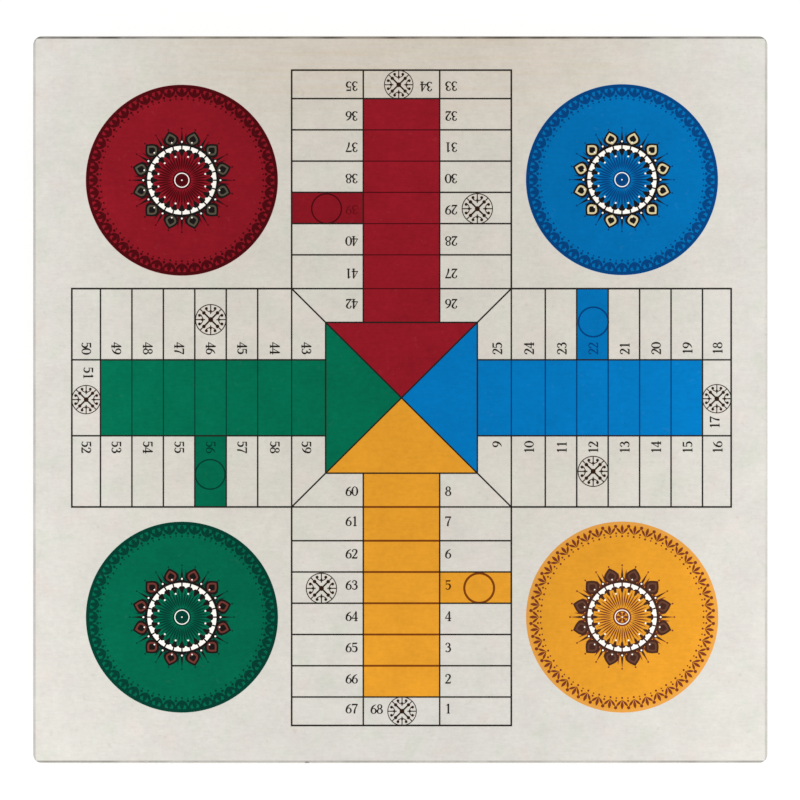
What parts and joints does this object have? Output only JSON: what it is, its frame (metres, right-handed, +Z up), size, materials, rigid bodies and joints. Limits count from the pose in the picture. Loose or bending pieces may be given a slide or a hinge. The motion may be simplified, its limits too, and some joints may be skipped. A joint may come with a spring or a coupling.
{
  "type": "folding ludo board box",
  "caption": "Shallow wooden game box whose paper-covered race-game board is a hinged lid that folds back flat, with swing hooks, felt feet, dividers, counters and dice.",
  "frame": {"origin": "on the table under the middle of the closed box", "axes": "+X to the right, +Y from the front with its hooks to the hinges at the rear, +Z up out of the board"},
  "size_m": [0.4, 0.396, 0.0443],
  "materials": {
    "beech": "satin lacquer",
    "divider_wood": "sanded, bare",
    "plywood": "sanded plywood",
    "fibreboard": "raw fibreboard",
    "board_paper": "matt laid paper, printed",
    "line_ink": "matt ink",
    "red_ink": "matt ink",
    "blue_ink": "matt ink",
    "yellow_ink": "matt ink",
    "green_ink": "matt ink",
    "red_counter": "gloss paint",
    "blue_counter": "gloss paint",
    "yellow_counter": "gloss paint",
    "green_counter": "gloss paint",
    "dice_plastic": "polished ivory-coloured plastic",
    "foot_felt": "pressed felt",
    "lining_felt": "pressed felt",
    "brass": "satin brass"
  },
  "bodies": {
    "tray": {"tray_front_wall": "beech", "tray_back_wall": "beech", "tray_left_wall": "beech", "tray_right_wall": "beech", "tray_bottom": "plywood", "tray_lining": "lining_felt", "front_divider": "divider_wood", "back_divider": "divider_wood", "left_divider": "divider_wood", "right_divider": "divider_wood", "left_hinge_tray_leaf": "brass", "right_hinge_tray_leaf": "brass", "left_hinge_pin": "brass", "right_hinge_pin": "brass", "tray_hinge_screws": "brass", "hook_studs": "brass", "feet": "foot_felt", "counters_red": "red_counter", "counters_blue": "blue_counter", "counters_yellow": "yellow_counter", "counters_green": "green_counter", "dice": "dice_plastic"},
    "lid": {"board_core": "fibreboard", "board_face": "board_paper", "print_red": "red_ink", "print_blue": "blue_ink", "print_yellow": "yellow_ink", "print_green": "green_ink", "print_lines": "line_ink", "lid_front_rail": "beech", "lid_back_rail": "beech", "lid_left_rail": "beech", "lid_right_rail": "beech", "lid_lining": "lining_felt", "left_hinge_lid_leaf": "brass", "right_hinge_lid_leaf": "brass", "lid_hinge_screws": "brass", "hook_pivot_screws": "brass"},
    "left_hook": {"left_hook": "brass"},
    "right_hook": {"right_hook": "brass"}
  },
  "joints": [
    {"name": "lid_hinge", "type": "hinge", "parent": "tray", "child": "lid", "pos_m": [0, 0.1958, 0.02215], "axis": [-1, 0, 0], "range_deg": [0, 180]},
    {"name": "left_hook_swing", "type": "hinge", "parent": "lid", "child": "left_hook", "pos_m": [-0.1102, -0.1941, 0.0301], "axis": [0, 1, 0], "range_deg": [-90, 22]},
    {"name": "right_hook_swing", "type": "hinge", "parent": "lid", "child": "right_hook", "pos_m": [0.1102, -0.1941, 0.0301], "axis": [0, -1, 0], "range_deg": [-90, 22]}
  ]
}
